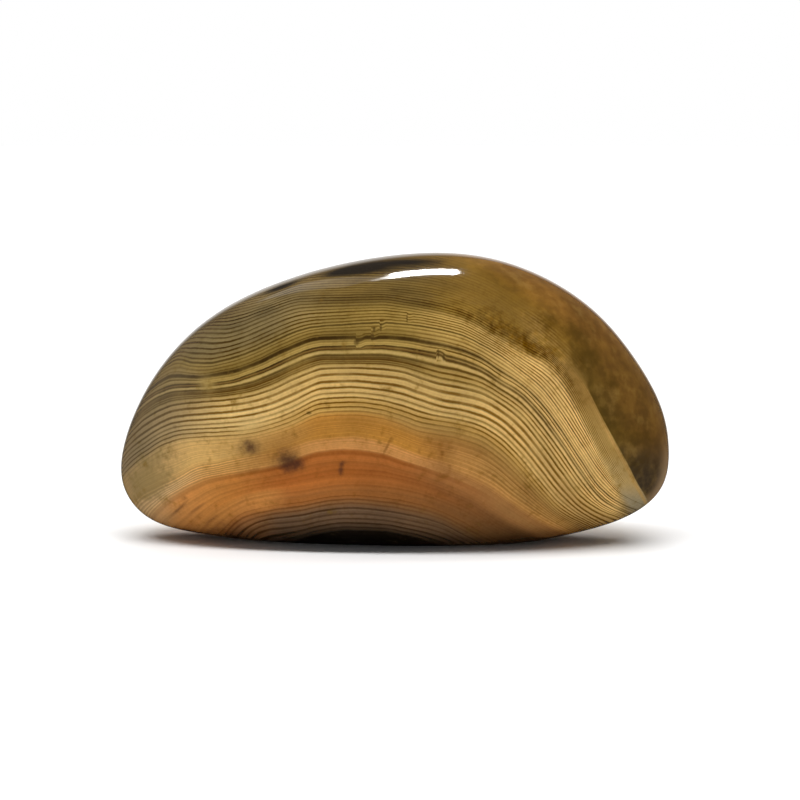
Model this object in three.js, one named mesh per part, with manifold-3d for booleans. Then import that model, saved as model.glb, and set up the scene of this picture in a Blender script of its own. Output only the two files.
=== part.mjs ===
// A tumbled and polished banded agate pebble: one smooth, slightly flattened stone that stands on a worn
// flat. Units are millimetres and +Z is up. X runs along the stone's length and Y through its thickness,
// with the broad front face towards -Y. The origin is on the resting flat, under the middle of the stone.

import * as THREE from "three";
import { mergeVertices } from "three/addons/utils/BufferGeometryUtils.js";
import Module from "manifold-3d";

// Driving dimensions
const stoneLength = 45;
const stoneThickness = 18.2;
const rimSetBack = 0.5; // the widest outline lies this much nearer to the back face than to the front one

// Points on the stone's widest outline in the XZ plane, anticlockwise from the right-hand end. The outline
// dips under Z = 0 along the bottom, where the resting flat is cut.
const outlinePoints = [
  [22.5, 7.6],
  [21.8, 11.2],
  [19.4, 15.25],
  [16.0, 19.1],
  [10.9, 22.1],
  [5.0, 23.45],
  [-2.0, 22.95],
  [-8.9, 21.15],
  [-15.35, 17.9],
  [-19.95, 12.8],
  [-22.25, 7.4],
  [-22.2, 3.9],
  [-19.9, 1.3],
  [-15.2, 0.3],
  [-8.0, -0.5],
  [0.0, -0.7],
  [8.0, -0.5],
  [14.6, 0.6],
  [19.2, 2.0],
  [22.0, 4.3],
];
const drawnLength = 45; // the outline, the face oval and the swells are drawn for a stone of this length

// Towards the middle of each face the sections change from the outline to an oval of these half-widths.
const faceOval = { x: 20.6, z: 11.6 };
const middle = { x: -0.3, z: 11.4 };

// From the front face to the back one, the sections' middle moves by twice this much.
const lean = { x: -1.0, z: 0.5 };

// How much squarer than an ellipse the stone is, seen from its end or from above.
const fullness = 0.022;

// The rim wanders a little to the front and the back round the stone.
const rimSway = { amount: 0.7, turns: 2, phase: 0.7 };

// Broad low swells and hollows left by tumbling: centre on the XZ plane, radius and height.
const frontSwells = [
  { at: [-13, 15], radius: 7, height: -0.2 },
  { at: [13, 9], radius: 8, height: 0.2 },
];
const backSwells = [
  { at: [9, 15], radius: 8, height: -0.25 },
  { at: [-9, 8], radius: 8, height: 0.25 },
];

// Mesh fineness
const stepsPerOutlinePoint = 4;
const ringsFrontToBack = 34;

const scale = stoneLength / drawnLength;
const pointsAround = outlinePoints.length * stepsPerOutlinePoint;

// A closed cubic B-spline, so that the rim's curvature has no breaks. Each control point stands outside its
// outline point by a sixth of the bend there, which brings the curve back on to the outline.
function rimPoints() {
  const count = outlinePoints.length;
  const drawn = outlinePoints.map(([x, z]) => new THREE.Vector2(x, z));
  const around = (list, index) => list[(index + count) % count];
  const controls = drawn.map((point, index) => {
    const bend = around(drawn, index - 1).clone().add(around(drawn, index + 1)).addScaledVector(point, -2);
    return point.clone().addScaledVector(bend, -1 / 6);
  });

  const rim = [];
  for (let index = 0; index < count; index++) {
    for (let step = 0; step < stepsPerOutlinePoint; step++) {
      const t = step / stepsPerOutlinePoint;
      const weights = [
        (1 - t) ** 3,
        3 * t ** 3 - 6 * t ** 2 + 4,
        -3 * t ** 3 + 3 * t ** 2 + 3 * t + 1,
        t ** 3,
      ];
      const point = new THREE.Vector2();
      weights.forEach((weight, offset) => {
        point.addScaledVector(around(controls, index + offset - 1), weight / 6);
      });
      rim.push(point);
    }
  }
  return rim;
}

function swellAt(swells, x, z) {
  return swells.reduce((sum, { at, radius, height }) => {
    const distance = Math.hypot(x - at[0], z - at[1]) / radius;
    return sum + height * Math.exp(-distance * distance);
  }, 0);
}

// A point of the surface beside one rim point: turn runs from 0 in the middle of the front face, over the rim
// at a half, to 1 in the middle of the back. Side is -1 at the front, 0 at the rim and 1 at the back, and
// reach is how far out from the middle the section lies.
function surfacePoint(rimPoint, turn) {
  const halfTurn = Math.PI * turn;
  const reach = (Math.sin(halfTurn) + fullness * Math.sin(3 * halfTurn)) / (1 - fullness);
  const side = -(Math.cos(halfTurn) - fullness * Math.cos(3 * halfTurn)) / (1 - fullness);

  const away = new THREE.Vector2(rimPoint.x - middle.x, rimPoint.y - middle.z);
  const angle = Math.atan2(away.y / faceOval.z, away.x / faceOval.x);
  const oval = new THREE.Vector2(faceOval.x * Math.cos(angle), faceOval.z * Math.sin(angle));
  const section = oval.lerp(away, reach * reach);
  const x = middle.x + lean.x * side + section.x * reach;
  const z = middle.z + lean.z * side + section.y * reach;

  const sway = rimSway.amount * Math.sin(rimSway.turns * angle + rimSway.phase) * reach * reach;
  const frontSwell = swellAt(frontSwells, x, z) * ((1 - side) / 2) ** 2;
  const backSwell = swellAt(backSwells, x, z) * ((1 + side) / 2) ** 2;
  const depth = (stoneThickness / 2) * side + rimSetBack * (1 - side * side);
  const y = depth + sway - frontSwell + backSwell;
  return new THREE.Vector3(x * scale, y, z * scale);
}

// Rings of points from the middle of the front face over the rim to the middle of the back, closed with a
// fan of triangles at each end.
function pebbleGeometry() {
  const rim = rimPoints();
  const positions = [];
  const addPoint = (rimPoint, turn) => positions.push(...surfacePoint(rimPoint, turn).toArray());
  const ringCount = ringsFrontToBack - 1;
  for (let ring = 1; ring <= ringCount; ring++) {
    rim.forEach((rimPoint) => addPoint(rimPoint, ring / ringsFrontToBack));
  }
  const frontMiddle = positions.length / 3;
  addPoint(rim[0], 0);
  const backMiddle = frontMiddle + 1;
  addPoint(rim[0], 1);

  const triangles = [];
  const pointIn = (ring, step) => ring * pointsAround + (step % pointsAround);
  for (let step = 0; step < pointsAround; step++) {
    triangles.push(frontMiddle, pointIn(0, step), pointIn(0, step + 1));
    for (let ring = 0; ring < ringCount - 1; ring++) {
      const a = pointIn(ring, step);
      const b = pointIn(ring, step + 1);
      const c = pointIn(ring + 1, step);
      const d = pointIn(ring + 1, step + 1);
      triangles.push(a, c, b, b, c, d);
    }
    triangles.push(backMiddle, pointIn(ringCount - 1, step + 1), pointIn(ringCount - 1, step));
  }

  const geometry = new THREE.BufferGeometry();
  geometry.setAttribute("position", new THREE.Float32BufferAttribute(positions, 3));
  geometry.setIndex(triangles);
  return geometry;
}

const wasm = await Module();
wasm.setup();

function solidFrom(geometry) {
  const bare = geometry.clone();
  bare.deleteAttribute("normal");
  bare.deleteAttribute("uv");
  const merged = mergeVertices(bare);
  return new wasm.Manifold(
    new wasm.Mesh({
      numProp: 3,
      vertProperties: new Float32Array(merged.attributes.position.array),
      triVerts: new Uint32Array(merged.index.array),
    }),
  );
}

function geometryFrom(solid) {
  const { vertProperties, triVerts } = solid.getMesh();
  const geometry = new THREE.BufferGeometry();
  geometry.setAttribute("position", new THREE.BufferAttribute(vertProperties, 3));
  geometry.setIndex(new THREE.BufferAttribute(triVerts, 1));
  geometry.computeVertexNormals();
  return geometry;
}

// The block under Z = 0 that takes the resting flat off the pebble's underside.
function underBlock() {
  const block = new THREE.BoxGeometry(2 * stoneLength, 2 * stoneLength, stoneLength);
  block.translate(0, 0, -stoneLength / 2);
  return block;
}

function agateStone() {
  const solid = solidFrom(pebbleGeometry()).subtract(solidFrom(underBlock()));
  const material = new THREE.MeshStandardMaterial({ color: 0xb08a4e, roughness: 0.12, metalness: 0 });
  const stone = new THREE.Mesh(geometryFrom(solid), material);
  stone.name = "agate_stone";
  return stone;
}

const specimen = new THREE.Group();
specimen.add(agateStone());

export default specimen;
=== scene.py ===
import math

import bpy
import numpy as np
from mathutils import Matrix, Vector


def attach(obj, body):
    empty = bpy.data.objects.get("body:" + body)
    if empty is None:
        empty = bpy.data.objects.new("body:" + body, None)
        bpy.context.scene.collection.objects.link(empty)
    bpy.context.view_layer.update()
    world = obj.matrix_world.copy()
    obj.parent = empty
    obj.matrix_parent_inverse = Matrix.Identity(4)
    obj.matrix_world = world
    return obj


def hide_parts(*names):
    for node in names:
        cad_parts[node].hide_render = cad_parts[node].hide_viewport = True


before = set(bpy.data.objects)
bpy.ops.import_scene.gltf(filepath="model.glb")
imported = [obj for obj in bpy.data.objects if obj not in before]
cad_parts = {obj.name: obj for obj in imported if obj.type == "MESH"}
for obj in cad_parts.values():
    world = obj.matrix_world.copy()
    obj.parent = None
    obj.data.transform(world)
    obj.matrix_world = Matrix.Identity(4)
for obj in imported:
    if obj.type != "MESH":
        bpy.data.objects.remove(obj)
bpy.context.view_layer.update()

mm = 0.001


def placeInScene(name, data):
    thing = bpy.data.objects.new(name, data)
    bpy.context.scene.collection.objects.link(thing)
    return thing


# where the stone is looked at from; the bands are drawn on a sheet that faces this spot
viewpoint = {
    "distance": 350 * mm,
    "elevation": math.radians(8),
    "lookAt": (0.49 * mm, 0, 11.46 * mm),
    "fieldWidth": 65.58 * mm,  # how much the picture takes in at that distance
    "sensorWidth": 36,
    "clip": (0.01, 20),
}


def viewAxes():
    tilt = viewpoint["elevation"]
    forward = np.array([0, math.cos(tilt), -math.sin(tilt)])
    up = np.array([0, math.sin(tilt), math.cos(tilt)])
    return np.array([1.0, 0, 0]), forward, up


def viewSpot():
    return np.array(viewpoint["lookAt"]) - viewAxes()[1] * viewpoint["distance"]


# the stone's form, in millimetres, with the same values as the solid model
stoneForm = {
    "outline": [
        (22.5, 7.6), (21.8, 11.2), (19.4, 15.25), (16.0, 19.1), (10.9, 22.1),
        (5.0, 23.45), (-2.0, 22.95), (-8.9, 21.15), (-15.35, 17.9), (-19.95, 12.8),
        (-22.25, 7.4), (-22.2, 3.9), (-19.9, 1.3), (-15.2, 0.3), (-8.0, -0.5),
        (0.0, -0.7), (8.0, -0.5), (14.6, 0.6), (19.2, 2.0), (22.0, 4.3),
    ],
    "thickness": 18.2,
    "rimSetBack": 0.5,
    "faceOval": (20.6, 11.6),
    "middle": (-0.3, 11.4),
    "lean": (-1.0, 0.5),
    "fullness": 0.022,
    "rimSway": {"amount": 0.7, "turns": 2, "phase": 0.7},
    "frontSwells": [(-13, 15, 7, -0.2), (13, 9, 8, 0.2)],  # x, z, radius, height
    "backSwells": [(9, 15, 8, -0.25), (-9, 8, 8, 0.25)],
    "stepsPerOutlinePoint": 20,
    "ringsFrontToBack": 200,
    "flatEdgeRadius": 0.2,  # how softly the resting flat runs into the curved side
    "bakeSheet": (0.98, 0.48),  # how much of the sheet's width and height each half may fill
}


def roundTheRim(steps):
    drawn = np.array(stoneForm["outline"])
    bend = np.roll(drawn, 1, 0) + np.roll(drawn, -1, 0) - 2 * drawn
    controls = drawn - bend / 6
    t = (np.arange(steps) / steps)[None, :, None]
    weights = [(1 - t) ** 3, 3 * t**3 - 6 * t**2 + 4, -3 * t**3 + 3 * t**2 + 3 * t + 1, t**3]
    rim = sum(w * np.roll(controls, 1 - k, 0)[:, None, :] for k, w in enumerate(weights)) / 6
    return rim.reshape(-1, 2)


def swellAt(swells, x, z):
    return sum(h * np.exp(-((x - cx) ** 2 + (z - cz) ** 2) / r**2) for cx, cz, r, h in swells)


# one point for every turn (rows, 0 front to 1 back) and rim point (columns)
def stonePoints(turns, rim):
    form = stoneForm
    halfTurn = np.pi * np.asarray(turns, float)[:, None]
    full = form["fullness"]
    reach = (np.sin(halfTurn) + full * np.sin(3 * halfTurn)) / (1 - full)
    side = -(np.cos(halfTurn) - full * np.cos(3 * halfTurn)) / (1 - full)

    away = rim - np.array(form["middle"])
    ovalX, ovalZ = form["faceOval"]
    angle = np.arctan2(away[:, 1] / ovalZ, away[:, 0] / ovalX)[None, :]
    blend = reach**2
    x = (ovalX * np.cos(angle) * (1 - blend) + away[:, 0] * blend) * reach
    z = (ovalZ * np.sin(angle) * (1 - blend) + away[:, 1] * blend) * reach
    x = x + form["middle"][0] + form["lean"][0] * side
    z = z + form["middle"][1] + form["lean"][1] * side

    sway = form["rimSway"]
    y = form["thickness"] / 2 * side + form["rimSetBack"] * (1 - side**2)
    y = y + sway["amount"] * np.sin(sway["turns"] * angle + sway["phase"]) * blend
    y = y - swellAt(form["frontSwells"], x, z) * ((1 - side) / 2) ** 2
    y = y + swellAt(form["backSwells"], x, z) * ((1 + side) / 2) ** 2

    # the worn flat: everything under the floor is pressed up to it, with a small radius
    soft = form["flatEdgeRadius"]
    z = np.where(z > soft, z, np.where(z < -soft, 0, (z + soft) ** 2 / (4 * soft)))
    return np.stack([x, y, z], -1)


# the front half is laid out in the upper half of the sheet and the back half in the lower one
def unwrapStone(turns, rim):
    fromMiddle = np.minimum(turns, 1 - turns) * 2
    spread = 0.5 * np.sin(fromMiddle * np.pi / 2) + 0.5 * fromMiddle
    low = rim.min(0)
    size = rim.max(0) - low
    place = (rim - low) / size - 0.5
    wide, high = stoneForm["bakeSheet"]
    u = 0.5 + wide * place[None, :, 0] * spread[:, None]
    v = 0.25 + high * place[None, :, 1] * spread[:, None]
    return u, v


def buildStone():
    form = stoneForm
    rim = roundTheRim(form["stepsPerOutlinePoint"])
    around = len(rim)
    rings = form["ringsFrontToBack"]
    turns = np.arange(1, rings) / rings
    grid = stonePoints(turns, rim).reshape(-1, 3)
    poles = stonePoints([0.0, 1.0], rim[:1]).reshape(-1, 3)
    points = np.vstack([grid, poles]) * mm

    ring = np.arange(rings - 2)[:, None] * around
    step = np.arange(around)[None, :]
    nextStep = (step + 1) % around
    quads = np.stack([ring + step, ring + around + step, ring + around + nextStep, ring + nextStep], -1)
    quads = quads.reshape(-1, 4)
    frontPole = len(grid)
    backPole = frontPole + 1
    last = (rings - 2) * around
    frontFan = [(frontPole, s, (s + 1) % around) for s in range(around)]
    backFan = [(backPole, last + (s + 1) % around, last + s) for s in range(around)]

    mesh = bpy.data.meshes.new("agateStone")
    mesh.from_pydata(points.tolist(), [], quads.tolist() + frontFan + backFan)
    mesh.polygons.foreach_set("use_smooth", np.ones(len(mesh.polygons), bool))

    # the sheet for baking: ring number tells which half a face lies in
    u, v = unwrapStone(turns, rim)
    u = np.append(u.ravel(), [0.5, 0.5])
    v = np.append(v.ravel(), [0.25, 0.25])
    corner = np.zeros(len(mesh.loops), int)
    mesh.loops.foreach_get("vertex_index", corner)
    isFront = np.concatenate([
        np.repeat(quads[:, 0] // around < rings // 2 - 1, 4),
        np.repeat([True, False], 3 * around),
    ])
    sheet = mesh.uv_layers.new(name="OFBake")
    place = np.stack([u[corner], v[corner] + np.where(isFront, 0.5, 0)], -1)
    sheet.data.foreach_set("uv", place.astype(np.float32).ravel())

    stone = placeInScene("agatePebble", mesh)
    towardRim = np.append(np.repeat(np.sin(np.pi * turns), around), [0, 0])
    return stone, points / mm, towardRim


# the bands are drawn in millimetres on the sheet. A layer is the dark line of one level, counted upwards,
# and the line it follows: (across, up). Most points from creamLast to upper, and some of the core's, were
# measured by a script and not judged by eye
bandLayers = {
    "core": (0, [
        (-24.2, -13.05), (-13.55, -2.8), (-10.3, -1), (-7.85, 0), (-6.2, 0.5), (-4.15, 0.8),
        (-1.25, 0.75), (1.2, 0.35), (2.85, -0.15), (6.1, -1.55), (10.2, -4), (16.75, -8.1),
        (24.15, -13.05),
    ]),
    "coreLines": (3, [
        (-24.2, -12), (-14.2, -2.9), (-12.5, -0.75), (-11.75, 0.25), (-11.05, 0.68), (-10.25, 0.92),
        (-9, 1.05), (-7.85, 1.2), (-6.2, 1.6), (-4.15, 1.85), (-1.25, 1.7), (1.2, 1.35), (3.65, 0.75),
        (5.3, 0), (8.55, -1.55), (16.75, -6.5), (24.15, -11),
    ]),
    "coreEdge": (6, [
        (-24.2, -9.8), (-15.3, -1.5), (-14.1, -0.25), (-13.35, 0.7), (-12.7, 1.27), (-11.9, 1.68),
        (-10.25, 2.13), (-7.85, 2.5), (-5.35, 3), (-3.75, 3.1), (-1.25, 2.9), (2, 2.35), (3.65, 1.85),
        (5.3, 1.05), (6.95, 0.15), (10.2, -1.25), (16.75, -4.85), (24.15, -8.95),
    ]),
    "rust": (12, [
        (-24.2, -4.85), (-17.65, -0.35), (-15.6, 1.65), (-14.4, 2.6), (-11.95, 3.7), (-7.85, 4.35),
        (-4.15, 4.85), (-1.25, 4.75), (1.2, 4.35), (3.65, 3.6), (6.1, 2.55), (8.55, 1.05), (11.85, -0.35),
        (16.75, -2.8), (24.15, -6.5),
    ]),
    "rustTop": (20, [
        (-24.2, -2.4), (-20.95, 1.2), (-19.6, 2.7), (-18.3, 3.75), (-16.7, 4.6), (-15.2, 5.15),
        (-12.75, 5.6), (-9.45, 6.25), (-6.2, 7.3), (-4.15, 7.45), (-1.25, 7.15), (0.35, 6.65),
        (3.65, 5.55), (6.95, 4.1), (9.4, 2.55), (11.85, 1.05), (15.1, -0.4), (20.05, -2.55),
        (24.15, -4.45),
    ]),
    "flesh": (24, [
        (-24.2, -0.35), (-22.15, 1.9), (-20.95, 3.4), (-19.6, 4.15), (-18.05, 4.9), (-16.05, 5.95),
        (-15, 6.15), (-12.75, 6.6), (-9.45, 7.3), (-6.2, 8.2), (-3.75, 8.4), (-1.25, 8.05), (2, 6.95),
        (5.45, 5.9), (7.75, 4.85), (9.8, 3.35), (12.25, 1.8), (15.1, 0.4), (20.05, -1.55), (24.15, -3.2),
    ]),
    "creamLast": (32, [
        (-24.2, 3.75), (-21.7, 6.2), (-20.5, 7.05), (-18.9, 8), (-16.8, 8.5), (-13.5, 8.65),
        (-11.9, 8.8), (-10.25, 9.2), (-8.6, 9.75), (-6, 10.9), (-3.7, 11), (-1.25, 10.75),
        (0.4, 10.3), (2.05, 9.75), (5.35, 9.15), (6.95, 8.65), (8.6, 7.55), (10.25, 5.9), (11.9, 4.05),
        (13.55, 2.45), (15.15, 1.55), (16.8, 0.85), (24.2, -1.6),
    ]),
    "creamMiddle": (36, [
        (-24.2, 5.1), (-21.7, 7.7), (-20.5, 8.55), (-19.25, 9.3), (-18.05, 9.75), (-16.8, 9.9),
        (-13.5, 10.1), (-11.9, 10.3), (-10.25, 10.7), (-8.6, 11.35), (-6, 12.5), (-3.7, 12.6),
        (-1.25, 12.4), (0.4, 12.1), (2.05, 11.55), (3.7, 11.05), (5.35, 10.75), (6.95, 10.3), (8.6, 9.4),
        (10.25, 7.85), (11.9, 5.9), (13.55, 3.9), (15.15, 2.45), (16.8, 1.5), (24.2, -0.95),
    ]),
    "creamFirst": (39, [
        (-24.2, 6.8), (-21.7, 9.1), (-20.5, 10.1), (-19.25, 10.8), (-18.05, 11.2), (-16.8, 11.35),
        (-13.5, 11.6), (-11.9, 11.85), (-10.25, 12.35), (-8.6, 13.15), (-6.95, 13.85), (-6, 14.15),
        (-3.7, 14.2), (-1.25, 14.1), (0.4, 13.9), (2.05, 13.35), (3.7, 12.85), (5.35, 12.55),
        (6.95, 12.1), (8.6, 11.2), (10.25, 9.95), (11.9, 8), (13.55, 5.8), (15.15, 3.75), (16.8, 2.55),
        (18.45, 1.9), (24.2, -0.05),
    ]),
    "olive": (42, [
        (-24.2, 7.9), (-21.7, 10.2), (-20.5, 11.2), (-19.25, 11.9), (-18.05, 12.25), (-15.15, 12.4),
        (-13.5, 12.6), (-11.9, 12.95), (-10.25, 13.6), (-8.6, 14.35), (-6.95, 15.05), (-6, 15.25),
        (-1.25, 15.25), (0.4, 15.05), (3.7, 14.25), (5.35, 13.9), (6.95, 13.4), (8.6, 12.4),
        (10.25, 11.3), (11.9, 9.55), (13.55, 7.35), (15.15, 5.05), (16.8, 3.15), (18.45, 2.3),
        (24.2, 0.55),
    ]),
    "twin": (43.5, [
        (-24.2, 8.4), (-21.7, 10.75), (-20.5, 11.7), (-19.25, 12.35), (-18.05, 12.7), (-15.15, 12.85),
        (-13.5, 13.05), (-11.9, 13.55), (-10.25, 14.2), (-8.6, 15), (-6.8, 15.7), (-6, 15.85),
        (-1.25, 15.9), (0.4, 15.75), (3.7, 15.1), (5.35, 14.7), (6.95, 14.1), (8.6, 13.05), (10.25, 12),
        (11.9, 10.35), (13.55, 8.15), (15.15, 5.8), (16.8, 3.7), (18.45, 2.6), (24.2, 0.85),
    ]),
    "dark": (46, [
        (-24.2, 9.2), (-21.15, 11.75), (-19.25, 13.15), (-18.3, 13.55), (-16, 13.45), (-14.35, 13.7),
        (-12.7, 14.05), (-11.05, 14.7), (-9.45, 15.5), (-7.8, 16.2), (-6.8, 16.55), (-6, 16.65),
        (-1.25, 16.7), (0.4, 16.6), (2.05, 16.35), (5.35, 15.65), (6.95, 15), (8.6, 13.9),
        (10.25, 12.85), (11.9, 11.3), (13.55, 9.15), (15.15, 6.7), (16.8, 4.35), (18.45, 3.1),
        (20.1, 2.45), (24.2, 1.35),
    ]),
    "upper": (50, [
        (-24.2, 10.4), (-20.1, 13.6), (-18.85, 14.5), (-17.75, 14.95), (-16.65, 14.65), (-15.15, 14.6),
        (-14.35, 14.75), (-12.7, 15.2), (-11.9, 15.5), (-10.25, 16.25), (-7.8, 17.3), (-6.8, 17.55),
        (-4.1, 17.75), (-1.25, 17.9), (0.4, 17.8), (2.05, 17.6), (5.35, 16.9), (6.95, 16.15), (8.6, 15.2),
        (10.25, 14), (11.9, 12.65), (13.55, 10.55), (15.15, 8.15), (16.8, 5.7), (18.45, 3.9),
        (20.1, 3.1), (24.2, 1.95),
    ]),
    "hatch": (58, [
        (-24.2, 12.4), (-20.1, 15.65), (-17.65, 17.3), (-16.25, 17.8), (-15.05, 17.75), (-14, 17.7),
        (-12.75, 17.95), (-10.95, 18.6), (-7.6, 19.65), (-4.15, 19.75), (-1.25, 19.8), (1.2, 19.5),
        (5.45, 18.55), (8.55, 16.85), (11, 15.5), (12.65, 14.5), (14.15, 12.85), (15.55, 10.35),
        (17.15, 7.05), (18.8, 4.5), (20.45, 3.4), (24.15, 2.5),
    ]),
    "top": (66, [
        (-24.2, 14), (-17.65, 18.55), (-14.2, 19.75), (-10.95, 20.25), (-7.6, 21.2), (-4.15, 21.35),
        (-1.25, 21.3), (1.2, 21.15), (3.65, 20.75), (6.95, 19.6), (10.2, 17.7), (12.25, 16.25),
        (14.7, 13.85), (16.75, 10.35), (18.4, 7.05), (20.05, 4.2), (24.15, 2.85),
    ]),
    "above": (74, [
        (-24.2, 16.5), (-16.05, 21), (-10.95, 22.2), (-7.6, 22.95), (-4.15, 23.1), (0.35, 23.1),
        (3.65, 22.55), (6.95, 21.55), (10.2, 19.75), (13.5, 17.45), (16.75, 14), (19.2, 9.5),
        (21.7, 5), (24.15, 3.45),
    ]),
    "highest": (88, [
        (-24.2, 20.55), (-16.05, 24.25), (-10.95, 25.9), (-4.15, 26.8), (3.65, 26.15), (10.2, 23.55),
        (16.75, 18.1), (20.85, 11.95), (24.15, 5.4),
    ]),
}

bandDrawing = {
    "centre": (0.37, 11.56),  # the spot on the sheet that viewpoint looks at
    # the clear brown cap at the right-hand end, from its foot upwards: (up, across)
    "capEdge": [(0.5, 22.2), (3.7, 20.45), (4.9, 19.75), (6.3, 19.05), (8.35, 17.9), (10.5, 16.75),
                (12.05, 16), (14.1, 15), (16.1, 13.5), (17.7, 11.7), (19.35, 9.8),
                (21, 7.75), (22.6, 5.7), (24.5, 3.5)],
    "backLean": 0.5,  # behind the rim the layers drop by this much for each millimetre
    "backLeanFrom": 1,
    "backLeanSoftness": 1.2,
    "frontUntil": 3,  # small marks fade out behind this depth
    "frontSoftness": 0.8,
    "paceStep": 0.05,  # the levels are counted over this height to tell how close they lie
}

# soft stains and spots on the front: across, up, half-length, half-height, turn in degrees, strength
stains = {
    # dark veils under the ridge: a dark layer in the stone together with a painted dark reflection in the
    # polish
    "smokeAndDarkReflection": [
        (-9.4, 20.9, 1.7, 0.24, 20, 1), (-3.5, 22.25, 2.9, 0.44, 9, 1.2),
        (1.3, 22.95, 3.2, 0.34, 1, 0.8), (0.2, 22.3, 3.4, 0.45, 4, 0.5),
    ],
    # dark smudges with frayed edges
    "specks": [
        (-11.9, 7.7, 0.95, 0.85, 0, 0.95), (-8.75, 6.55, 0.8, 0.85, 0, 0.7),
        (-8.9, 6.4, 1.5, 1.25, 0, 0.5), (-7.8, 6.35, 0.5, 0.4, 0, 0.5),
        (-4.45, 5.85, 0.24, 0.75, -8, 0.95), (-4.1, 6.4, 0.4, 0.15, 0, 0.7),
        (-18.7, 4.5, 0.75, 0.24, -30, 0.5), (-18.1, 9.35, 0.2, 0.2, 0, 0.7),
        (-17.3, 3.5, 0.36, 0.3, 0, 0.6), (-14.3, 1.2, 1.7, 0.7, 15, 0.5),
    ],
    # brown wisps that hang from the honey layers into the flesh-coloured one
    "wisps": [
        (-0.7, 7.75, 0.75, 0.15, 65, 0.8), (-0.3, 8.2, 0.3, 0.3, 0, 0.5), (1.95, 7.4, 0.18, 0.38, 0, 0.7),
        (2.85, 7.3, 0.15, 0.32, 0, 0.6), (3.8, 7.2, 0.18, 0.42, 0, 0.9), (4.6, 7.25, 0.6, 0.12, 0, 0.6),
        (3.1, 6.25, 0.18, 0.18, 0, 0.6), (4.4, 6, 0.16, 0.42, -10, 0.7),
        (2.15, 5.35, 0.7, 0.24, 50, 0.75), (3.75, 5.15, 0.85, 0.26, 25, 0.9),
        (5.3, 4.95, 0.35, 0.3, 0, 0.5), (-1.4, 6.7, 0.22, 0.4, 0, 0.5), (7.6, 5.8, 0.25, 0.35, 0, 0.5),
        (-2.6, 8.6, 0.9, 0.2, 5, 0.35), (-11.4, 5.9, 2.4, 0.9, 15, 0.3),
    ],
    # short dark seams across the bands at the left foot
    "seams": [
        (-17.7, 2.7, 1.3, 0.16, 42, 0.8), (-16.35, 2.65, 1.3, 0.16, 36, 0.7),
        (-15.2, 1.7, 0.9, 0.15, 38, 0.7), (-12.6, 3.2, 1.4, 0.2, 34, 0.4),
    ],
    # dull patches in the left end
    "dusk": [
        (-19.6, 6.9, 1.6, 1.1, 25, 0.7), (-20.6, 4.6, 1.6, 1.5, 0, 1.2), (-18.6, 5.1, 1.8, 0.8, 30, 0.6),
        (-15.8, 8.2, 1.4, 0.4, 0, 0.25), (-16.9, 6.7, 1.2, 0.5, 20, 0.4),
    ],
    # where the lines fade out
    "bleach": [(-15.5, 12.95, 0.75, 0.65, 0, 1), (-11.9, 9.45, 1.2, 0.45, 20, 0.9)],
    # a warm shadow around the larger speck
    "shade": [(-10, 7.6, 2.6, 1.7, 10, 1)],
    # dark clouds in the moss on the upper right
    "mossDark": [
        (8.6, 17.4, 2.4, 1.1, -32, 0.6), (10.9, 16.1, 1.7, 0.7, -40, 0.7),
        (13, 15.7, 1, 0.8, -45, 0.4), (14.9, 16.9, 1.8, 1.1, -48, 0.85),
        (12.5, 18.1, 1.5, 0.9, -40, 0.6), (16, 15, 0.9, 0.9, 0, 0.85),
        (17.8, 13, 1.1, 1, -30, 0.7), (13.6, 13.9, 1.8, 0.6, -50, 0.45),
        (15, 14.6, 1, 0.5, -50, 0.4), (5.6, 18.6, 2.4, 0.6, -15, 0.3),
        (18.9, 9.6, 1.2, 1.6, 20, 0.35), (19.6, 6.3, 0.9, 1.2, 15, 0.5), (20, 8.4, 1.1, 0.9, 0, 0.55),
    ],
    # golden clouds in the same moss
    "mossGold": [
        (9.7, 16.6, 0.75, 0.4, -30, 0.9), (11.9, 16.45, 0.8, 0.6, -40, 0.9),
        (13.4, 15.4, 1.2, 0.55, -52, 1), (10.6, 18.8, 1.6, 0.8, -35, 0.4),
        (18.5, 12, 0.8, 0.8, 0, 0.6), (7.6, 18.4, 1, 0.5, -30, 0.5),
    ],
}


# from one value to the next, t from 0 to 1 over the gap, leaving and arriving at these slopes
def curveBetween(t, gap, start, leaving, end, arriving):
    return (start * (1 + 2 * t) * (1 - t) ** 2 + leaving * gap * t * (1 - t) ** 2
            + end * t**2 * (3 - 2 * t) + arriving * gap * t**2 * (t - 1))


# a smooth line through the points that doesn't overshoot between them
def smoothThrough(points, at):
    x, y = np.array(points, float).T
    gap = np.diff(x)
    rise = np.diff(y) / gap
    slope = np.zeros(len(x))
    same = rise[:-1] * rise[1:] > 0
    first = 2 * gap[1:] + gap[:-1]
    second = gap[1:] + 2 * gap[:-1]
    with np.errstate(divide="ignore", invalid="ignore"):
        mean = (first + second) / (first / rise[:-1] + second / rise[1:])
    slope[1:-1] = np.where(same, mean, 0)
    slope[0], slope[-1] = rise[0], rise[-1]
    at = np.clip(at, x[0], x[-1])
    k = np.clip(np.searchsorted(x, at) - 1, 0, len(x) - 2)
    t = (at - x[k]) / gap[k]
    return curveBetween(t, gap[k], y[k], slope[k], y[k + 1], slope[k + 1])


# where each surface point lies on the sheet
def placeOnSheet(points):
    right, forward, up = viewAxes()
    away = points * mm - viewSpot()
    depth = away @ forward
    centre = bandDrawing["centre"]
    reach = viewpoint["distance"] / mm
    across = centre[0] + reach * (away @ right) / depth
    height = centre[1] + reach * (away @ up) / depth
    drop = (points[:, 1] - bandDrawing["backLeanFrom"]) / bandDrawing["backLeanSoftness"]
    drop = bandDrawing["backLeanSoftness"] * np.logaddexp(0, drop)
    return across, height + bandDrawing["backLean"] * drop


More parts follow.
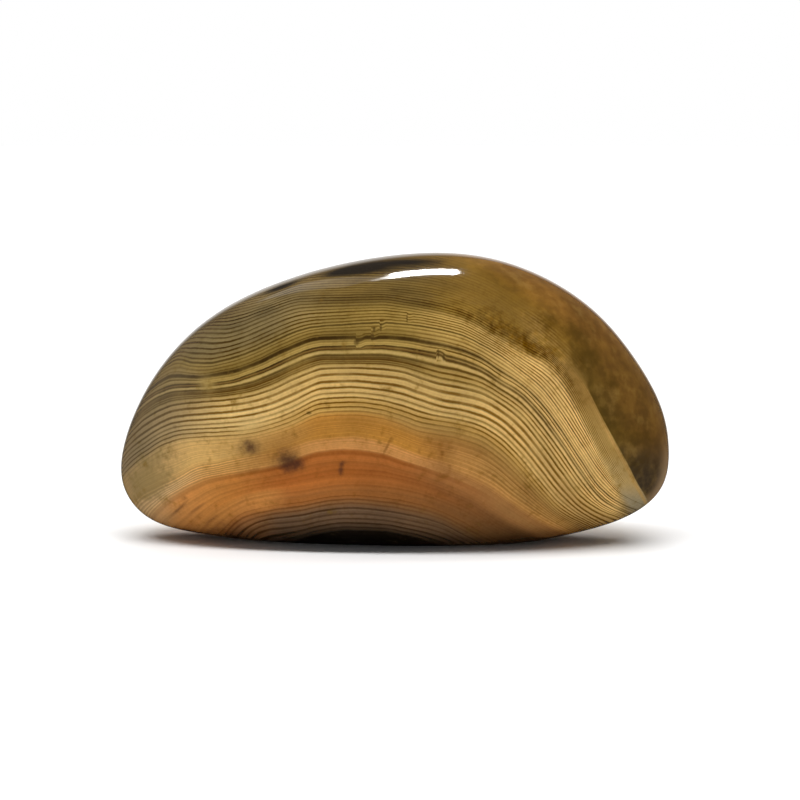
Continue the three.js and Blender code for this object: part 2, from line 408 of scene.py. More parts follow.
def bandLevelAt(across, height):
    layers = bandLayers.values()
    heights = np.stack([smoothThrough(points, across) for _, points in layers])
    levels = np.array([level for level, _ in layers], float)
    gaps = np.diff(heights, axis=0)
    pace = np.diff(levels)[:, None] / gaps
    knot = np.vstack([pace[:1], 2 * pace[:-1] * pace[1:] / (pace[:-1] + pace[1:]), pace[-1:]])
    k = np.clip((heights < height).sum(0) - 1, 0, len(levels) - 2)
    pick = np.arange(len(height))
    gap = gaps[k, pick]
    t = (height - heights[k, pick]) / gap
    inside = np.clip(t, 0, 1)
    level = curveBetween(inside, gap, levels[k], knot[k, pick], levels[k + 1], knot[k + 1, pick])
    return level + (t - inside) * gap * pace[k, pick]


def stainAt(spots, across, height):
    total = np.zeros(len(across))
    for x, z, long, high, turn, strength in spots:
        cosine, sine = math.cos(math.radians(turn)), math.sin(math.radians(turn))
        along = (across - x) * cosine + (height - z) * sine
        over = (height - z) * cosine - (across - x) * sine
        total += strength * np.exp(-((along / long) ** 2) - (over / high) ** 2)
    return total


def drawBands(stone, points, towardRim):
    drawing = bandDrawing
    across, height = placeOnSheet(points)
    behind = (points[:, 1] - drawing["frontUntil"]) / drawing["frontSoftness"]
    onFront = 1 / (1 + np.exp(behind))
    step = drawing["paceStep"]
    rise = bandLevelAt(across, height + step) - bandLevelAt(across, height - step)
    fields = {
        "bandLevel": bandLevelAt(across, height),
        "bandPace": rise / (2 * step),
        "bandAcross": across,
        "bandUp": height,
        "capDepth": across - smoothThrough(drawing["capEdge"], height),
        "towardRim": towardRim,
        "onFront": onFront,
    }
    for name, spots in stains.items():
        fields[name] = stainAt(spots, across, height) * onFront
    for name, values in fields.items():
        layer = stone.data.attributes.new(name, "FLOAT", "POINT")
        layer.data.foreach_set("value", values.astype(np.float32))


def srgb(red, green, blue):
    def straighten(value):
        value /= 255
        return value / 12.92 if value <= 0.04045 else ((value + 0.055) / 1.055) ** 2.4
    return tuple(straighten(v) for v in (red, green, blue)) + (1.0,)


class NodeBench:
    def __init__(self, material):
        material.use_nodes = True
        self.nodes = material.node_tree.nodes
        self.links = material.node_tree.links
        self.nodes.clear()

    # a new node, what goes into its sockets, and its settings
    def add(self, kind, inputs=None, **settings):
        node = self.nodes.new(kind)
        for name, value in settings.items():
            setattr(node, name, value)
        for socket, value in (inputs or {}).items():
            if isinstance(value, bpy.types.NodeSocket):
                self.links.new(value, node.inputs[socket])
            else:
                node.inputs[socket].default_value = value
        return node

    def math(self, operation, first, second=0.0, clamp=False):
        inputs = {0: first, 1: second}
        return self.add("ShaderNodeMath", inputs, operation=operation, use_clamp=clamp).outputs[0]

    def plus(self, first, second):
        return self.math("ADD", first, second)

    def minus(self, first, second, clamp=False):
        return self.math("SUBTRACT", first, second, clamp)

    def times(self, first, second, clamp=False):
        return self.math("MULTIPLY", first, second, clamp)

    # 0 below low, 1 above high and smooth between them
    def ease(self, value, low, high, fromValue=0.0, toValue=1.0):
        inputs = {"Value": value, "From Min": low, "From Max": high, "To Min": fromValue, "To Max": toValue}
        return self.add("ShaderNodeMapRange", inputs, interpolation_type="SMOOTHSTEP").outputs["Result"]

    def mix(self, amount, first, second, blend="MIX"):
        inputs = {0: amount, 6: first, 7: second}
        node = self.add("ShaderNodeMix", inputs, data_type="RGBA", blend_type=blend, clamp_factor=True)
        return node.outputs[2]

    def blend(self, amount, first, second):
        inputs = {0: amount, 2: first, 3: second}
        return self.add("ShaderNodeMix", inputs, data_type="FLOAT", clamp_factor=True).outputs[0]

    def attribute(self, name):
        return self.add("ShaderNodeAttribute", attribute_name=name).outputs["Fac"]

    def noise(self, where, scale, detail):
        inputs = {"Vector": where, "Scale": scale, "Detail": detail}
        return self.add("ShaderNodeTexNoise", inputs).outputs["Fac"]

    # noise that changes only with one value
    def noiseAlong(self, value, scale, detail=0.0):
        inputs = {"W": value, "Scale": scale, "Detail": detail}
        return self.add("ShaderNodeTexNoise", inputs, noise_dimensions="1D").outputs["Fac"]

    # distance from a spot, squared, counted in its half-width and half-height
    def spot(self, across, up, x, z, wide, high):
        total = 0.0
        for value, at, half in ((across, x, wide), (up, z, high)):
            offset = self.math("DIVIDE", self.minus(value, at), half)
            total = self.plus(total, self.times(offset, offset))
        return total

    # 1 between low and high, 0 outside
    def window(self, value, low, high, soft):
        rising = self.ease(value, low - soft, low + soft)
        falling = self.ease(value, high + soft, high - soft)
        return self.times(rising, falling)

    def scale(self, colour, amount):
        inputs = {0: colour, "Scale": amount}
        return self.add("ShaderNodeVectorMath", inputs, operation="SCALE").outputs[0]

    # a surface of that colour, from polished to matt by its roughness
    def finish(self, colour, roughness, refraction=1.5):
        inputs = {"Base Color": colour, "Roughness": roughness, "IOR": refraction}
        shader = self.add("ShaderNodeBsdfPrincipled", inputs)
        self.add("ShaderNodeOutputMaterial", {"Surface": shader.outputs[0]})

    # a colour and a line strength for every level; the list is split over two ramps
    def palette(self, level, stops):
        half = len(stops) // 2
        made = []
        for part in (stops[: half + 1], stops[half:]):
            first, reach = part[0][0], part[-1][0] - part[0][0]
            place = self.math("DIVIDE", self.minus(level, first), reach)
            node = self.add("ShaderNodeValToRGB", {0: place})
            ramp = node.color_ramp
            for stop in part[1:-1]:
                ramp.elements.new((stop[0] - first) / reach)
            for element, stop in zip(ramp.elements, part):
                element.color = srgb(*stoneColours[stop[1]])[:3] + (stop[2],)
            made.append(node)
        which = self.math("GREATER_THAN", level, stops[half][0])
        colour = self.mix(which, made[0].outputs["Color"], made[1].outputs["Color"])
        strength = self.blend(which, made[0].outputs["Alpha"], made[1].outputs["Alpha"])
        return colour, strength


# the colours that the levels take
stoneColours = {
    "coreBlack": (26, 21, 16), "smokyBrown": (66, 52, 38), "greyBrown": (108, 84, 62),
    "umber": (128, 88, 52), "dullRust": (150, 94, 46), "rust": (158, 90, 38), "orange": (172, 102, 46),
    "flesh": (200, 141, 78), "honey": (184, 128, 54), "darkHoney": (174, 120, 50),
    "wheat": (190, 150, 78), "cream": (206, 170, 102), "straw": (182, 151, 88), "olive": (154, 124, 62),
    "paleOlive": (162, 134, 70), "moorland": (144, 118, 58), "drab": (122, 98, 44),
    "darkDrab": (94, 74, 32), "dust": (112, 90, 44), "ridge": (94, 75, 38),
}

agate = {
    # level, colour, strength of the dark lines
    "bands": [
        (-3, "coreBlack", 0), (0, "coreBlack", 0.3), (0.6, "smokyBrown", 0.8), (3, "greyBrown", 0.9),
        (4.8, "greyBrown", 0.9), (6.4, "umber", 0.6), (8, "dullRust", 0.3), (10, "dullRust", 0.08),
        (12.5, "orange", 0.05), (14.5, "rust", 0.05), (17.5, "orange", 0.08), (19.7, "rust", 0.1),
        (20.6, "flesh", 0.25), (23.6, "flesh", 0.25), (25, "honey", 0.12), (28.4, "darkHoney", 0.15),
        (30, "honey", 0.3), (31.4, "wheat", 0.75), (33, "wheat", 0.95), (34.5, "cream", 0.95),
        (37.5, "cream", 0.95), (39.4, "straw", 0.85), (40.3, "olive", 1), (41.6, "olive", 1),
        (42.2, "paleOlive", 0), (44.8, "paleOlive", 0), (46.6, "drab", 0.8), (49.6, "moorland", 0.95),
        (50.5, "moorland", 0.95), (54, "moorland", 1), (58, "darkDrab", 1), (61, "dust", 0.95),
        (66, "dust", 0.8), (74, "ridge", 0.5), (88, "dust", 0.5),
    ],
    # towards the ends the same levels take another tone: its colour, how much of it, between which places
    # across it comes in, the levels it holds for, how softly it starts there, and the strength of the lines
    "tones": {
        "warmFan": ((190, 128, 66), 0.9, (-8.2, -11), (7.2, 12.5), 1, 0.08),
        "goldenFoot": ((202, 136, 64), 0.8, (-8.5, -16), (10.5, 21), 4, 0.1),
        "paleFoot": ((206, 168, 112), 0.5, (-17.3, -20), (12, 21), 4, 0.1),
        "coreLeft": ((138, 96, 58), 0.8, (-9, -12), (1.5, 6.5), 1, 0.9),
        "coreFan": ((160, 104, 56), 0.5, (-9.5, -12), (6, 8), 1, 0.5),
        "goldenFlesh": ((200, 150, 82), 0.9, (-5, -10), (20.3, 24.5), 1.5, 0.1),
        "paleFlesh": ((206, 168, 112), 0.8, (-15, -19), (20.3, 24.5), 1.5, 0.1),
        "wheatFlank": ((212, 170, 100), 0.9, (-6, -11.5), (24.5, 32), 2, 0.12),
        "paleCream": ((226, 191, 122), 0.75, (-7.5, -12), (32, 38), 2, 0.95),
        "dullFoot": ((92, 66, 38), 0.95, (-5, 11), (2, 20.5), 6, 0.12),
        "softFlesh": ((172, 118, 66), 0.6, (0, 5), (16, 20.5), 4, 0.1),
        "brownFlesh": ((146, 106, 60), 0.85, (5.5, 9.5), (17, 24.5), 3, 0.12),
        "dullFlesh": ((150, 102, 56), 0.55, (0.5, 4.5), (20.3, 30), 1.5, 0.12),
        "warmFlesh": ((196, 142, 76), 0.95, (3.5, 5.5), (23, 28.5), 1.5, 0.2),
        "softCrest": ((164, 126, 68), 0.7, (-4, 2), (29.3, 32), 1.5, 0.4),
        "linedFlank": ((150, 116, 62), 0.6, (5, 9), (24, 31.5), 2, 0.55),
        "paleSide": ((212, 172, 102), 0.55, (6, 11), (33.5, 39.8), 2, 0.95),
        "duskSide": ((150, 125, 82), 0.75, (-13.5, -18.5), (32, 40), 1.2, 1),
        "duskFlank": ((150, 126, 76), 0.75, (-14.5, -17), (39.5, 48), 1.5, 0.8),
        "duskTop": ((112, 98, 67), 0.75, (-3, -11), (50.3, 88), 3, 1),
        "goldenCrest": ((176, 144, 78), 0.85, (0, 4.5), (40, 56.5), 1.5, 1),
        "paleFlank": ((226, 186, 114), 0.95, (4, 15), (39.8, 61), 1.2, 1),
        "goldenHatch": ((146, 114, 44), 0.65, (1.5, 5), (57, 65), 2, 1.1),
        "mossSide": ((128, 96, 36), 0.8, (0, 7), (61, 88), 6, 0.22),
        "hatchSide": ((150, 117, 60), 0.95, (9.5, 12.5), (59.5, 88), 1.2, 0.8),
        "dullTail": ((156, 122, 70), 0.75, (11, 15.5), (28, 38.5), 3, 0.95),
        "dullCorner": ((132, 112, 76), 0.8, (17.8, 19), (36, 56), 3, 0.7),
    },
    # close pleats of light and dark inside the flesh-coloured layers at the left foot
    "pleats": {"levels": (19.8, 24.8, 1), "share": 0.85, "pitch": 0.75, "shades": (0.7, 1.22)},
    # the finest hatching, in the outer part of the plain strip
    "hatching": {"depths": (-2.1, -1, 0.22), "pitch": 1, "shades": (0.52, 1.4)},
    "foldSlope": (0.1, 0.4),  # from a fold's bottom to its crest
    "lineTint": (0.28, 0.205, 0.085, 1),
    "lineHalfWidth": (0.3, 0.35),  # on the left and on the right
    "lineCore": 0.08,
    # the plain strip that follows the cap's edge: its tone, and others that come in between these heights
    "strip": {
        "tone": (160, 128, 69),
        "otherTones": [((140, 107, 52), (8.5, 12)), ((178, 148, 91), (7.4, 5.8)),
                       ((146, 134, 106), (5.2, 3))],
        "cover": 0.92,
        "lines": 0.16,
        "edgeTone": (178, 140, 78),  # the golden line on the edge itself
        "edgeDepths": (-0.38, -0.1, 0.12),
        "edgeCover": 0.7,
    },
    # level, half width, softness, colour, strength on the left and on the right, where it has changed over
    "markedBands": [
        (40.5, 0.08, 0.22, (88, 64, 24), 0.8, 0.1, 3),
        (41.4, 0.16, 0.25, (84, 60, 20), 0.85, 0.2, 3.5),
        (42, 0.12, 0.3, (80, 60, 24), 0.85, 0.5, 4),
        (42.6, 0.1, 0.22, (196, 166, 106), 0.5, 0.45, 9),
        (43.2, 0.1, 0.22, (50, 34, 8), 0.97, 0.72, 9),
        (43.5, 0.28, 0.1, (110, 78, 32), 0.7, 0.1, 9),
        (43.8, 0.1, 0.22, (58, 40, 10), 0.95, 0.7, 9),
        (45, 0.06, 0.24, (96, 74, 32), 0.45, 0.55, 9),
        (46, 0.3, 0.5, (56, 38, 6), 0.97, 0.35, 11),
        (46, 0.1, 0.25, (64, 45, 14), 0.2, 0.65, 9),
        (50, 0.12, 0.36, (78, 60, 24), 0.85, 0.55, 9),
    ],
    # tiny steps in the bands: across, lowest, highest, how far the levels slip, how far that reaches
    "faults": [
        (-3.25, 15.75, 17, 0.6, 0.9), (-2, 16.5, 17.5, 0.5, 0.7), (-1.3, 17.3, 18.1, 0.5, 0.6),
        (0.95, 17.95, 18.7, 0.4, 0.6), (3.35, 14.7, 15.7, -0.6, 0.9),
    ],
    "faultEnds": 0.12,  # how softly a step ends above and below
    "faultFade": 0.3,  # the share of its reach over which it holds in full
    # dark knots on those steps and elsewhere: across, up, half-width, half-height
    "knots": [
        (-3.2, 16.3, 0.24, 0.3), (-1.9, 16.75, 0.17, 0.36), (-1.75, 17.35, 0.12, 0.22),
        (-1.2, 17.5, 0.1, 0.32), (0.95, 18.25, 0.07, 0.38), (3.5, 15.35, 0.1, 0.45),
        (3.95, 15.05, 0.12, 0.3), (-0.1, 20.6, 0.42, 0.08), (-7.1, 10.5, 0.22, 0.14),
    ],
    # painted shade, a painted grey reflection and darker veils over larger parts
    "leftShade": (0.48, 0.49, 0.56, 1),
    "leftSlant": (8, 0.22),  # the shade on the left leans: about which height, and how much
    "footShade": (0.8, 0.8, 0.8, 1),
    "warmShade": (0.59, 0.5, 0.4, 1),
    # a painted grey reflection of the room over the left end
    "paintedGreyReflection": (158, 146, 122),
    "mossTint": (0.38, 0.28, 0, 1),
    "linesInMoss": 0.55,
    "mossInCap": 0.6,
    "spotTones": {
        # smoke: the dark layer under the ridge with its painted dark reflection
        "dusk": (132, 112, 70), "mossGold": (170, 132, 60), "smokeAndDarkReflection": (27, 22, 18),
        "specks": (66, 42, 32), "seams": (66, 42, 32), "wisps": (118, 76, 30), "knots": (66, 48, 18),
    },
    # how ragged the smoke and its painted dark reflection are
    "smokeAndDarkReflectionFray": 0.6,
    "capTones": {
        "clear": (100, 70, 26), "edge": (91, 68, 22), "shelf": (120, 88, 28),
        "shoulder": (114, 78, 30), "foot": (66, 54, 38), "veil": (128, 98, 48), "moss": (66, 47, 6),
        # rim and paintedRimGlowTop: painted glow and reflection at the rim
        "rim": (172, 142, 108), "paintedRimGlowTop": (140, 104, 60),
    },
    "capEdgeSoftness": (0.12, 3),  # sharp below, blurred above
    "capEdgeSpread": (0.2, 4),  # how ragged it is below and above
    # how tightly the painted rim glow and reflection gather at the rim, and how much of them shows on the
    # bands
    "paintedRimGlowSharpness": 1.5,
    "paintedRimGlowOnBands": 0.12,
    # where things come in, from one place to another, and from which strength to which if not 0 to 1
    "ramps": {
        # from left to right
        "toRight": (0, 9), "pleats": (-8.5, -15.5), "leftShade": (-15.5, -22.5),
        "footAcross": (-12, -14), "paintedGreyReflection": (-13, -20, 0, 0.14), "streaksAcross": (8, 3),
        "faultStart": (-0.03, 0.05),
        # upwards
        "stripTop": (16.5, 13.5), "edgeTop": (11.8, 8.2), "hatchTop": (17, 14),
        "hatchFoot": (3.6, 5.2), "footUp": (3.4, 1.8), "blurredUp": (12, 15.5),
        "shelfUp": (14, 17.5), "capFoot": (9, 5), "paintedRimGlowTone": (5, 9),
        # how much painted rim glow and reflection shows, from low to high
        "paintedRimGlowShare": (4.5, 12, 0.85, 0.28),
        # over the levels
        "uneven": (50.3, 52, 0, 0.22), "streaksLevel": (54, 60),
        # into the cap, and towards the rim for the painted rim glow and reflection
        "stripEdge": (-2.3, -1.5), "capEdge": (0, 3), "capShelf": (0, 4),
        "capCover": (-0.5, 0.5), "rim": (0.93, 1),
        # how strong a stain must be to show, and how much it covers
        "dusk": (0.25, 1, 0, 0.65), "mossGold": (0.25, 1, 0, 0.75), "mossDark": (0, 1.1),
        "inMoss": (0.1, 0.7), "smokeAndDarkReflection": (0.15, 0.95, 0, 0.95), "specks": (0.1, 1.25, 0, 0.9),
        "seams": (0.15, 1, 0, 0.7), "wisps": (0.15, 1, 0, 0.75),
        "knots": (0.1, 1.5, 0.65, 0),
    },
    # noise: its scale and detail, the part of it that counts, and the darkest and lightest it makes
    "textures": {
        "cloud": (190, 5, 0.3, 0.7, 0.86, 1.12),
        "grain": (4200, 3, 0.25, 0.75, 0.94, 1.06),
        "patchyLines": (420, 4, 0.32, 0.62, 0.72, 1.06),
        "streaks": (520, 5, 0.36, 0.64, 0.8, 1.1),
        "crumbs": (2100, 4, 0.32, 0.68, 0.8, 1.2),
        "capVeil": (650, 7, 0.5, 0.75, 0, 0.5),
        "capCloud": (260, 4, 0.35, 0.65, 0.8, 1.15),
        "capFibres": (1300, 6, 0.35, 0.65, 0.88, 1.14),
    },
    "streakStretch": (0.3, 1, 1.7),
    # the same for noise that changes only from level to level
    "layerings": {
        "fine": (3.3, 2, 0.25, 0.75, 0.87, 1.13),
        "broad": (0.75, 2, 0.3, 0.7, 0.86, 1.12),
        "lineWeight": (3.7, 0, 0.3, 0.7, 0.7, 1.1),
    },
    "broadLevels": (8, 20, 2),  # the rust layers, where the lamination is broad
    "unevenPitch": 0.8,
    # unsteadiness: scale and detail of the noise, and how far it moves things
    "wavers": {
        "level": (110, 3, 0.35), "lines": (800, 2, 0.035), "fineLines": (3000, 2, 0.022),
        "strip": (500, 3, 0.25), "ragged": (330, 6, 0.5), "moss": (700, 5, 0.8),
        "fineMoss": (2400, 3, 0.55), "frays": (900, 4, 0.35), "fineFrays": (2600, 3, 0.4),
        "wisps": (2000, 3, 0.5),
    },
    "brightness": 1.12,
    "roughness": 0.07,
    "refraction": 1.54,
}


# lays the agate's colours over each other, from the bands up to the smallest spots
class AgatePainter(NodeBench):
    def __init__(self, material):
        super().__init__(material)
        self.where = self.add("ShaderNodeTexCoord").outputs["Object"]
        self.across = self.attribute("bandAcross")
        self.up = self.attribute("bandUp")
        self.onFront = self.attribute("onFront")
        self.depth = self.attribute("capDepth")

    # these four look up their values in agate
    def ramp(self, name, value):
        return self.ease(value, *agate["ramps"][name])

    def texture(self, name, where=None):
        scale, detail, *shades = agate["textures"][name]
        return self.ease(self.noise(where or self.where, scale, detail), *shades)

    def layering(self, name, value):
        scale, detail, *shades = agate["layerings"][name]
        return self.ease(self.noiseAlong(value, scale, detail), *shades)

    def waver(self, name):
        scale, detail, size = agate["wavers"][name]
        return self.times(self.minus(self.noise(self.where, scale, detail), 0.5), 2 * size)

    def lay(self, share, colour):
        self.colour = self.mix(share, self.colour, colour)

    def paint(self, share, tone):
        self.lay(share, srgb(*tone))

    def tint(self, share, tint):
        self.lay(share, self.mix(1.0, self.colour, tint, "MULTIPLY"))

    def shade(self, amount):
        self.colour = self.scale(self.colour, amount)

    def shadeWithin(self, share, amount):
        self.shade(self.blend(share, 1.0, amount))

    # light and dark folds across the levels
    def foldWithin(self, share, pitch, shades):
        fold = self.math("DIVIDE", self.math("PINGPONG", self.level, pitch / 2), pitch)
        self.shadeWithin(share, self.ease(fold, *agate["foldSlope"], *shades))

    # the drawn level, a little unsteady as real layers are
    def steadyLevel(self):
        level = self.plus(self.attribute("bandLevel"), self.waver("level"))
        jitter = self.plus(self.waver("lines"), self.waver("fineLines"))
        level = self.plus(level, self.times(jitter, self.attribute("bandPace")))
        for at, low, high, slip, reach in agate["faults"]:
            past = self.minus(self.across, at)
            fading = self.ease(past, reach, reach * agate["faultFade"])
            near = self.times(self.times(self.ramp("faultStart", past), fading), self.onFront)
            tall = self.window(self.up, low, high, agate["faultEnds"])
            level = self.plus(level, self.times(self.times(tall, near), slip))
        # above the dark band the lines stand at uneven distances
        uneven = self.minus(self.noiseAlong(level, agate["unevenPitch"]), 0.5)
        self.level = self.plus(level, self.times(uneven, self.ramp("uneven", level)))

    def chooseColours(self):
        self.colour, self.strength = self.palette(self.level, agate["bands"])
        for tone, share, places, (low, high), soft, lines in agate["tones"].values():
            reach = self.times(self.ease(self.across, *places), self.window(self.level, low, high, soft))
            self.paint(self.times(reach, share), tone)
            self.strength = self.blend(reach, self.strength, lines)
        self.toRight = self.ramp("toRight", self.across)

    def addStrip(self):
        strip = agate["strip"]
        tone = srgb(*strip["tone"])
        for other, heights in strip["otherTones"]:
            tone = self.mix(self.ease(self.up, *heights), tone, srgb(*other))
        share = self.ramp("stripEdge", self.plus(self.depth, self.waver("strip")))
        share = self.times(share, self.ramp("stripTop", self.up))
        self.lay(self.times(share, strip["cover"]), tone)
        self.strength = self.blend(share, self.strength, strip["lines"])
        edge = self.times(self.window(self.depth, *strip["edgeDepths"]), self.ramp("edgeTop", self.up))
        self.paint(self.times(edge, strip["edgeCover"]), strip["edgeTone"])

    # lamination between the lines, fine in the upper layers and broad in the rust ones
    def addLamination(self):
        broad = self.blend(self.toRight, self.layering("broad", self.level), 1.0)
        inRust = self.window(self.level, *agate["broadLevels"])
        self.shade(self.blend(inRust, self.layering("fine", self.level), broad))
        pleats = agate["pleats"]
        inside = self.times(self.window(self.level, *pleats["levels"]), self.ramp("pleats", self.across))
        inside = self.times(inside, pleats["share"])
        self.foldWithin(inside, pleats["pitch"], pleats["shades"])
        hatching = agate["hatching"]
        inside = self.times(self.window(self.depth, *hatching["depths"]), self.ramp("hatchTop", self.up))
        inside = self.times(inside, self.ramp("hatchFoot", self.up))
        self.foldWithin(inside, hatching["pitch"], hatching["shades"])

    # the lines, one at every whole level, each with its own weight
    def addLines(self):
        nearest = self.math("ROUND", self.level)
        off = self.math("ABSOLUTE", self.minus(self.level, nearest))
        width = self.blend(self.toRight, *agate["lineHalfWidth"])
        line = self.ease(off, agate["lineCore"], width, 1.0, 0.0)
        kept = self.minus(1.0, self.attribute("bleach"), clamp=True)
        patchy = self.times(self.texture("patchyLines"), kept)
        strength = self.times(self.times(self.strength, self.layering("lineWeight", nearest)), patchy)
        self.strength = self.times(strength, line, clamp=True)
        self.tint(self.strength, agate["lineTint"])
        for at, half, soft, tone, onLeft, onRight, changed in agate["markedBands"]:
            distance = self.math("ABSOLUTE", self.minus(self.level, at))
            cover = self.ease(distance, half, half + soft, 1.0, 0.0)
            share = self.ease(self.across, 0.0, changed, onLeft, onRight)
            share = self.times(share, patchy, clamp=True)
            self.paint(self.times(cover, share), tone)

    # clouding and grain, so that no band is one flat colour, then painted shade, a painted grey reflection
    # and darker veils over larger parts
    def addShades(self):
        self.shade(self.times(self.texture("cloud"), self.texture("grain")))
        # painted shade, greyer, over the left end where the stone curves away, leaning with height
        height, slant = agate["leftSlant"]
        slanted = self.plus(self.across, self.times(self.minus(height, self.up), slant))
        self.tint(self.ramp("leftShade", slanted), agate["leftShade"])
        # painted shade at the left foot
        foot = self.times(self.ramp("footUp", self.up), self.ramp("footAcross", self.across))
        self.tint(foot, agate["footShade"])
        self.tint(self.attribute("shade"), agate["warmShade"])
        # painted grey reflection over the left end
        self.paint(self.ramp("paintedGreyReflection", self.across), agate["paintedGreyReflection"])
        # short dark streaks in the top layers
        upper = self.times(self.ramp("streaksLevel", self.level), self.ramp("streaksAcross", self.across))
        inputs = {0: self.where, 1: agate["streakStretch"]}
        stretched = self.add("ShaderNodeVectorMath", inputs, operation="MULTIPLY").outputs[0]
        self.shadeWithin(upper, self.texture("streaks", stretched))

    # moss before the cap's edge, on the upper side, with the lines showing through
    def addMoss(self):
        mottle = self.plus(self.waver("moss"), self.waver("fineMoss"))
        lined = self.minus(1.0, self.times(self.strength, agate["linesInMoss"]))
        for name in ("dusk", "mossGold"):
            cover = self.ramp(name, self.plus(self.attribute(name), mottle))
            tone = self.scale(srgb(*agate["spotTones"][name])[:3], lined)
            self.lay(cover, tone)
        self.mossCover = self.ramp("mossDark", self.plus(self.attribute("mossDark"), mottle))
        self.tint(self.mossCover, agate["mossTint"])
        inMoss = self.ramp("inMoss", self.plus(self.attribute("mossDark"), self.attribute("mossGold")))
        self.shadeWithin(inMoss, self.texture("crumbs"))

    # the cap: clear brown, darker at its edge and foot, with veils in it; then a painted glow and
    # reflection that make the stone paler at the rim, most on the cap
    def addCap(self):
        cap = {name: srgb(*tone) for name, tone in agate["capTones"].items()}
        tone = self.mix(self.ramp("capEdge", self.depth), cap["edge"], cap["clear"])
        shelf = self.mix(self.ramp("capShelf", self.depth), cap["shelf"], cap["shoulder"])
        tone = self.mix(self.ramp("shelfUp", self.up), tone, shelf)
        tone = self.mix(self.ramp("capFoot", self.up), tone, cap["foot"])
        tone = self.mix(self.texture("capVeil"), tone, cap["veil"])
        tone = self.scale(tone, self.times(self.texture("capCloud"), self.texture("capFibres")))
        tone = self.mix(self.times(self.mossCover, agate["mossInCap"]), tone, cap["moss"])
        blurred = self.ramp("blurredUp", self.up)
        self.ragged = self.waver("ragged")
        spread = self.times(self.ragged, self.blend(blurred, *agate["capEdgeSpread"]))
        softness = self.blend(blurred, *agate["capEdgeSoftness"])
        cover = self.ramp("capCover", self.math("DIVIDE", self.plus(self.depth, spread), softness))
        self.lay(cover, tone)
        # painted glow and reflection that make the stone paler towards its rim
        rim = self.ramp("rim", self.attribute("towardRim"))
        rim = self.math("POWER", rim, agate["paintedRimGlowSharpness"])
        share = self.blend(cover, agate["paintedRimGlowOnBands"], self.ramp("paintedRimGlowShare", self.up))
        paintedRimGlowTone = self.mix(self.ramp("paintedRimGlowTone", self.up), cap["rim"], cap["paintedRimGlowTop"])
        self.lay(self.times(rim, share), paintedRimGlowTone)

    # smoke under the ridge, a dark layer with a painted dark reflection, then the small dark marks
    def addSpots(self):
        fray = self.plus(self.waver("frays"), self.waver("fineFrays"))
        marks = {
            "smokeAndDarkReflection": self.plus(self.attribute("smokeAndDarkReflection"), self.times(self.ragged, agate["smokeAndDarkReflectionFray"])),
            "specks": self.plus(self.attribute("specks"), fray),
            "seams": self.attribute("seams"),
            "wisps": self.plus(self.attribute("wisps"), self.waver("wisps")),
        }
        tones = agate["spotTones"]
        for name, mark in marks.items():
            self.paint(self.ramp(name, mark), tones[name])
        for x, z, wide, tall in agate["knots"]:
            cover = self.ramp("knots", self.spot(self.across, self.up, x, z, wide, tall))
            self.paint(self.times(cover, self.onFront), tones["knots"])


def agateMaterial():
    material = bpy.data.materials.new("polishedAgate")
    painter = AgatePainter(material)
    painter.steadyLevel()
    painter.chooseColours()
    painter.addStrip()
    painter.addLamination()
    painter.addLines()
    painter.addShades()
    painter.addMoss()
    painter.addCap()
    painter.addSpots()
    painter.shade(agate["brightness"])
    painter.finish(painter.colour, agate["roughness"], agate["refraction"])
    print("agate material made:", len(painter.nodes), "nodes")
    return material


# the table, the lamps and the room around them
studio = {
    "tableWidth": 0.8,
    "tableColour": (0.93, 0.93, 0.93, 1),
    "tableRoughness": 0.9,
    # name: place, what it points at, width and depth, watts, whether it lights or only shines in the polish
    "lamps": {
        "frontStrip": ((-0.05, -0.34, 1.97), (0, 0, 0.01), (3.2, 0.28), 45, "light"),
        "rearStrip": ((-0.05, 0.28, 1.98), (0, 0, 0.01), (3.2, 0.28), 12.5, "light"),
        "frontCard": ((-0.1, -1.5, 0.11), (0, 0, 0.012), (1.6, 0.14), 2.4, "light"),
        "rearCard": ((0, 1.5, 1.3), (0, 0, 0.01), (1.6, 0.8), 14.5, "light"),
        "shineBox": ((0.006, 0.226, 0.45), (0.002, -0.004, 0.022), (0.104, 0.072), 2.2, "shine"),
        "shineStart": ((-0.052, 0.209, 0.459), (0.002, -0.004, 0.022), (0.014, 0.036), 0.016, "shine"),
        "shineFeather": ((-0.066, 0.205, 0.461), (0.002, -0.004, 0.022), (0.014, 0.026), 0.005, "shine"),
        "shineEnd": ((0.059, 0.209, 0.459), (0.002, -0.004, 0.022), (0.014, 0.036), 0.14, "shine"),
        "sheenCard": ((-0.145, 0.36, 0.45), (-0.006, -0.004, 0.021), (0.08, 0.32), 0.04, "shine"),
    },
    "backdrop": 1,  # seen straight, behind the table
    "roomColour": (1, 1, 1, 1),
    "roomLight": 0.14,
    "roomInPolish": 0.05,
    "backdropInPolish": 0.8,
    "backdropEdge": (0.91, 0.99),  # how squarely the polish must face the back to catch it
    "backdropFoot": (-0.2, -0.13),
}


def placeCamera():
    lens = bpy.data.cameras.new("camera")
    lens.sensor_width = viewpoint["sensorWidth"]
    lens.lens = viewpoint["sensorWidth"] * viewpoint["distance"] / viewpoint["fieldWidth"]
    lens.clip_start, lens.clip_end = viewpoint["clip"]
    camera = placeInScene("camera", lens)
    camera.location = Vector(viewSpot())
    aim = Vector(viewpoint["lookAt"]) - camera.location
    camera.rotation_euler = aim.to_track_quat("-Z", "Y").to_euler()
    bpy.context.scene.camera = camera


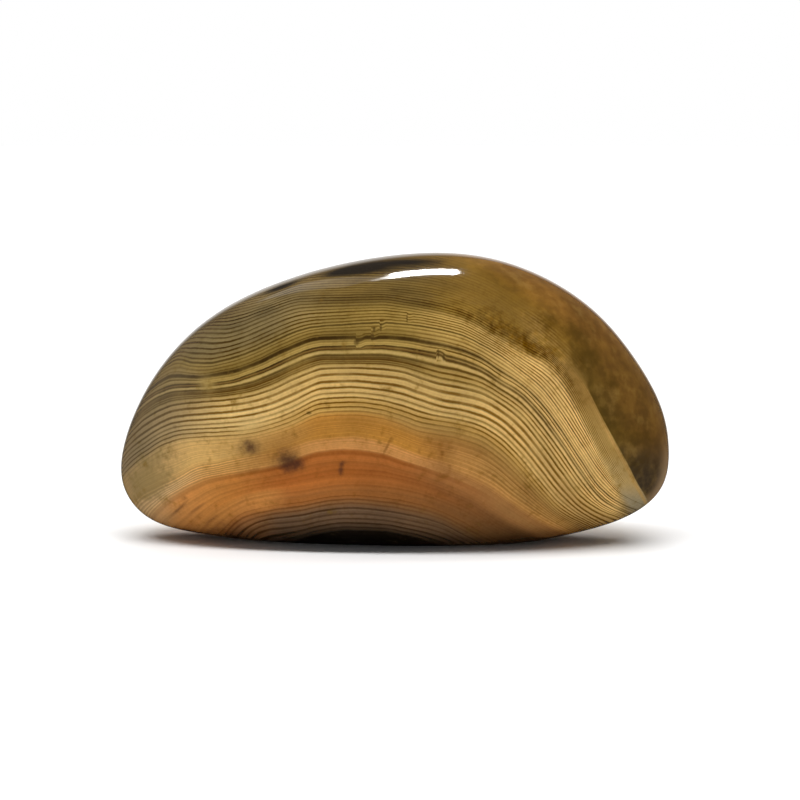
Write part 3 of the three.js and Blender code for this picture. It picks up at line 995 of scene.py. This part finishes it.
def layTable():
    half = studio["tableWidth"] / 2
    corners = [(-half, -half, 0), (half, -half, 0), (half, half, 0), (-half, half, 0)]
    mesh = bpy.data.meshes.new("whiteTable")
    mesh.from_pydata(corners, [], [(0, 1, 2, 3)])
    table = placeInScene("whiteTable", mesh)
    material = bpy.data.materials.new("mattWhite")
    NodeBench(material).finish(studio["tableColour"], studio["tableRoughness"])
    mesh.materials.append(material)
    table.visible_glossy = False


def hangLamps():
    for name, (place, aim, size, watts, use) in studio["lamps"].items():
        data = bpy.data.lights.new(name, "AREA")
        data.shape = "RECTANGLE"
        data.size, data.size_y = size
        data.energy = watts
        lamp = placeInScene(name, data)
        lamp.location = place
        lamp.rotation_euler = (Vector(aim) - Vector(place)).to_track_quat("-Z", "Y").to_euler()
        lamp.visible_camera = False
        lamp.visible_glossy = use == "shine"
        lamp.visible_diffuse = use == "light"


def fillRoom():
    world = bpy.data.worlds.new("studioRoom")
    bpy.context.scene.world = world
    bench = NodeBench(world)
    direction = bench.add("ShaderNodeTexCoord").outputs["Generated"]
    split = bench.add("ShaderNodeSeparateXYZ", {0: direction})
    above = bench.ease(split.outputs["Z"], *studio["backdropFoot"])
    shine = bench.ease(split.outputs["Y"], *studio["backdropEdge"], 0.0, studio["backdropInPolish"])
    shine = bench.times(bench.plus(shine, studio["roomInPolish"]), above)
    path = bench.add("ShaderNodeLightPath")
    brightness = bench.blend(path.outputs["Is Glossy Ray"], studio["roomLight"], shine)
    brightness = bench.blend(path.outputs["Is Camera Ray"], brightness, studio["backdrop"])
    room = bench.add("ShaderNodeBackground", {"Strength": brightness, "Color": studio["roomColour"]})
    bench.add("ShaderNodeOutputWorld", {"Surface": room.outputs[0]})


placeCamera()
print("camera placed")

stone, stoneSurface, towardRim = buildStone()
drawBands(stone, stoneSurface, towardRim)
stone.data.materials.append(agateMaterial())
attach(stone, "root")
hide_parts("agate_stone")
print("stone built:", len(stone.data.polygons), "faces")

layTable()
hangLamps()
fillRoom()
bpy.context.scene.view_settings.view_transform = "Standard"
print("studio set")
